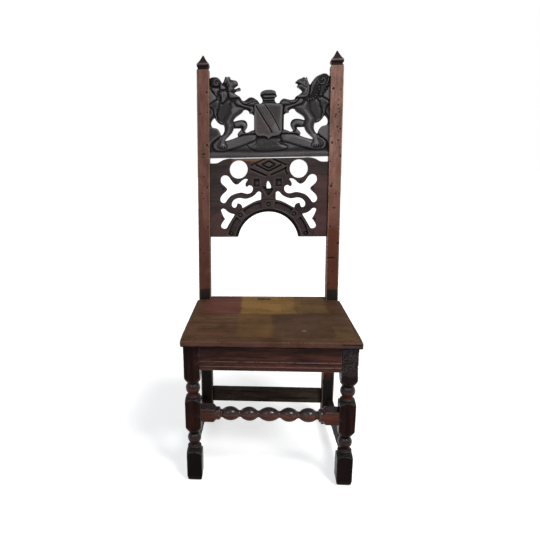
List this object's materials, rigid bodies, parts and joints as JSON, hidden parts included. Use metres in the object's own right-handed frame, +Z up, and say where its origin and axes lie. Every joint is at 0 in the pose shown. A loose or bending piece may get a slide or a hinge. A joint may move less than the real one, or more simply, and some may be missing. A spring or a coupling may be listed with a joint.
{
  "type": "wainscot chair",
  "caption": "Joined wooden side chair with a raked back of pierced carved boards, a solid board seat, turned front legs and a turned front stretcher.",
  "frame": {"origin": "on the floor, below the centre of the chair's outer box", "axes": "+Z up; the chair's front looks along -Y; +X is to the right of someone who stands in front of the chair and looks at it"},
  "size_m": [0.478, 0.4938, 1.1914],
  "materials": {
    "frame_oak": "old oak, waxed and worn, satin",
    "post_oak": "old oak, waxed and worn, satin",
    "stretcher_oak": "old oak, waxed and worn, satin",
    "crest_oak": "old oak, waxed and worn, satin",
    "arched_oak": "old oak, waxed and worn, satin",
    "seat_oak": "old oak, waxed and worn, satin",
    "peg_oak": "old oak, waxed and worn, satin"
  },
  "bodies": {
    "root": {"front_leg_left": "frame_oak", "front_leg_right": "frame_oak", "rear_post_left": "post_oak", "rear_post_right": "post_oak", "front_seat_rail": "frame_oak", "rear_seat_rail": "frame_oak", "side_seat_rail_left": "frame_oak", "side_seat_rail_right": "frame_oak", "front_stretcher": "frame_oak", "rear_stretcher": "stretcher_oak", "side_stretcher_left": "stretcher_oak", "side_stretcher_right": "stretcher_oak", "crest_panel": "crest_oak", "arched_panel": "arched_oak", "seat_board_front": "seat_oak", "seat_board_rear": "seat_oak", "front_rail_pegs": "peg_oak", "side_rail_pegs": "peg_oak", "rear_rail_pegs": "peg_oak", "front_stretcher_pegs": "peg_oak", "side_stretcher_pegs": "peg_oak", "rear_stretcher_pegs": "peg_oak", "crest_pegs": "peg_oak", "arched_panel_pegs": "peg_oak", "seat_pegs": "peg_oak"}
  },
  "joints": []
}
